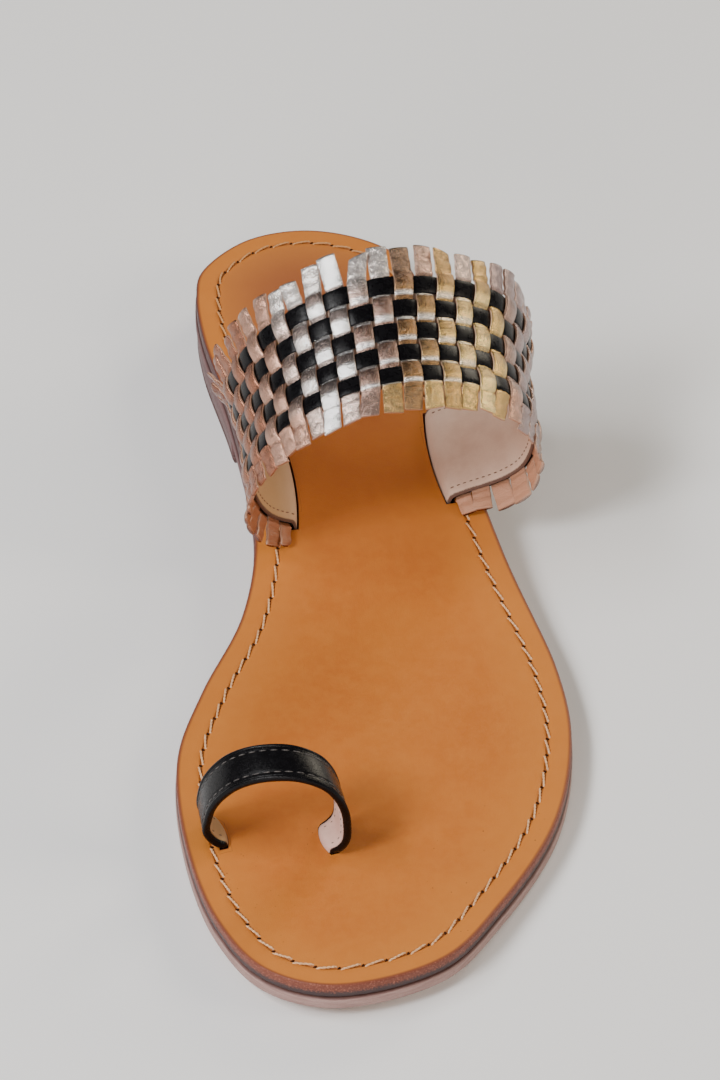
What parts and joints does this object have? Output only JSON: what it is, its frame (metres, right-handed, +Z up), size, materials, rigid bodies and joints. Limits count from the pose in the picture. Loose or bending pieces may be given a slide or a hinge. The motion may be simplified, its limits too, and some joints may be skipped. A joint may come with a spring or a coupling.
{
  "type": "leather sandal",
  "caption": "Flat leather slide sandal with a woven metallic instep band, fringed along both edges, and a leather loop for the big toe.",
  "frame": {"origin": "middle of the bounding box, on the floor that the sole stands on", "axes": "+Z up, +Y from the toes to the heel, +X to the lateral side of the left shoe"},
  "size_m": [0.0898, 0.254, 0.0763],
  "materials": {
    "outsole_leather": "matt greige leather with a plain cut edge",
    "heel_leather": "dark stained stacked leather",
    "top_piece_leather": "dark stained leather, matt underneath",
    "footbed_leather": "smooth vegetable-tanned leather with a burnished edge",
    "woven_leather": "foiled leather strips in rose, silver and gold woven with glossy black strips",
    "loop_leather": "black leather with a soft sheen"
  },
  "bodies": {
    "root": {"outsole": "outsole_leather", "heel_block": "heel_leather", "heel_top_piece": "top_piece_leather", "footbed": "footbed_leather", "instep_band": "woven_leather", "toe_loop": "loop_leather"}
  },
  "joints": []
}
